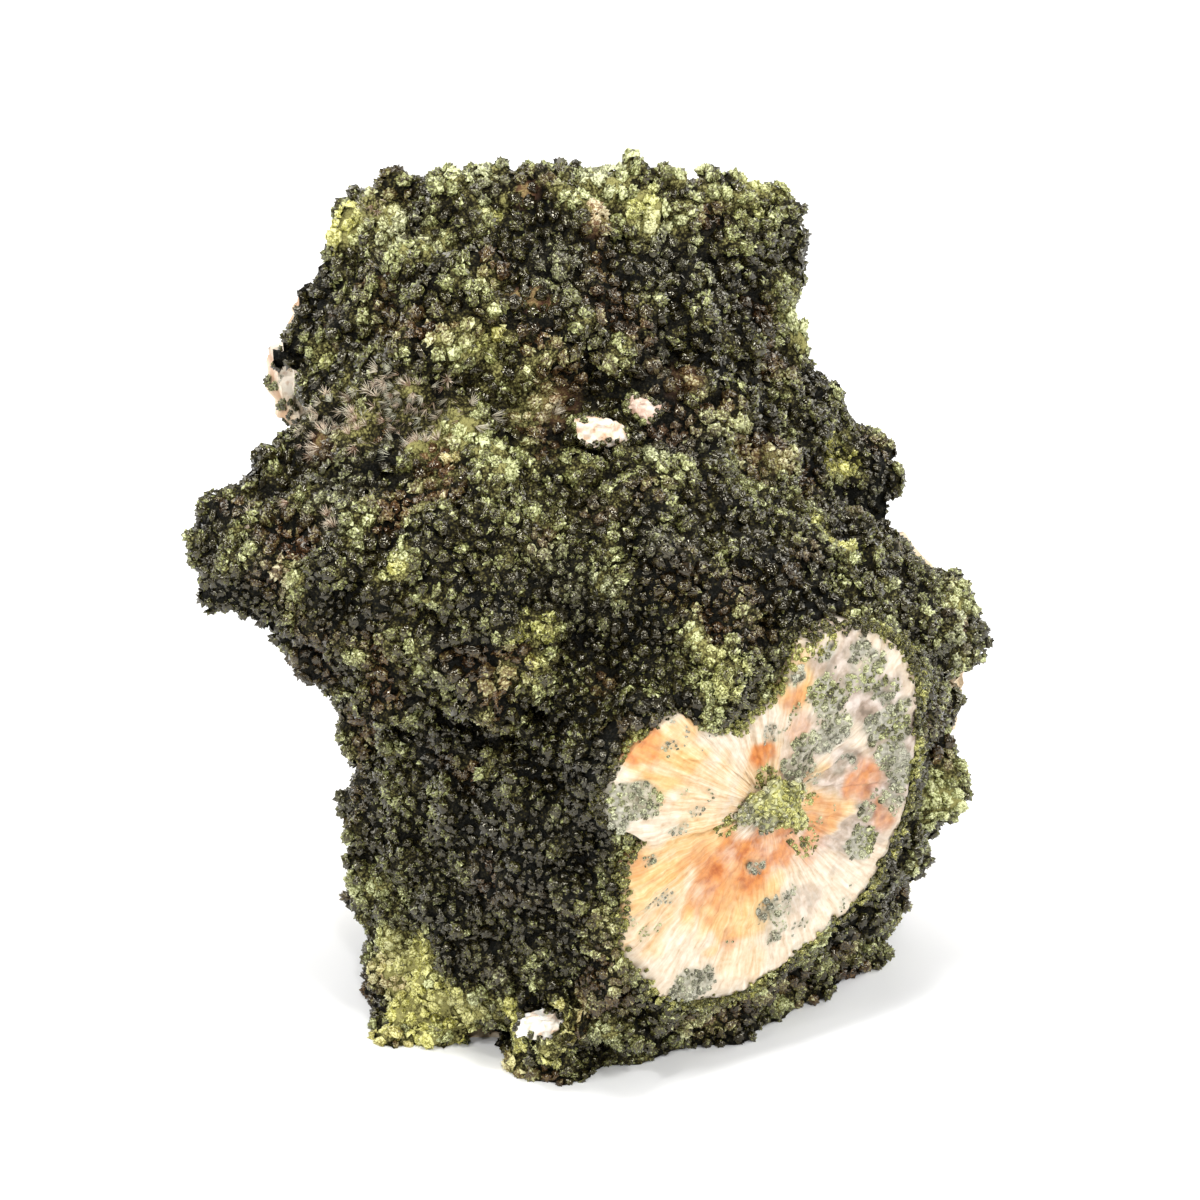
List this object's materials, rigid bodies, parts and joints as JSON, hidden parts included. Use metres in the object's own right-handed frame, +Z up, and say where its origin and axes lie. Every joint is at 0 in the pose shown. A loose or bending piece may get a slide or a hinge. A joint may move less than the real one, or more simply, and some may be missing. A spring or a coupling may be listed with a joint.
{
  "type": "epidote crystal cluster",
  "caption": "Standing cluster of dark green knobbly epidote crystals grown on pale broken rock, with a broken fan of pale fibres set in its lower right side.",
  "frame": {"origin": "on the flat underside, near its middle", "axes": "+Z up, from the underside to the top of the upper block; the pictured face with the fan looks towards -Y"},
  "size_m": [0.0773, 0.0611, 0.0828],
  "materials": {
    "epidote": "glassy small crystals, dark bottle green to yellow green",
    "matrix": "rough broken rock, pale cream",
    "fan": "silky broken fibres, cream with rust stains",
    "tuft": "small olive green crystals",
    "chip": "pale broken crystal"
  },
  "bodies": {
    "root": {"epidote_mass": "epidote", "rock_matrix": "matrix", "fibrous_fan": "fan", "fan_tuft": "tuft", "saddle_chip": "chip", "pink_chip": "chip", "foot_chip": "chip"}
  },
  "joints": []
}
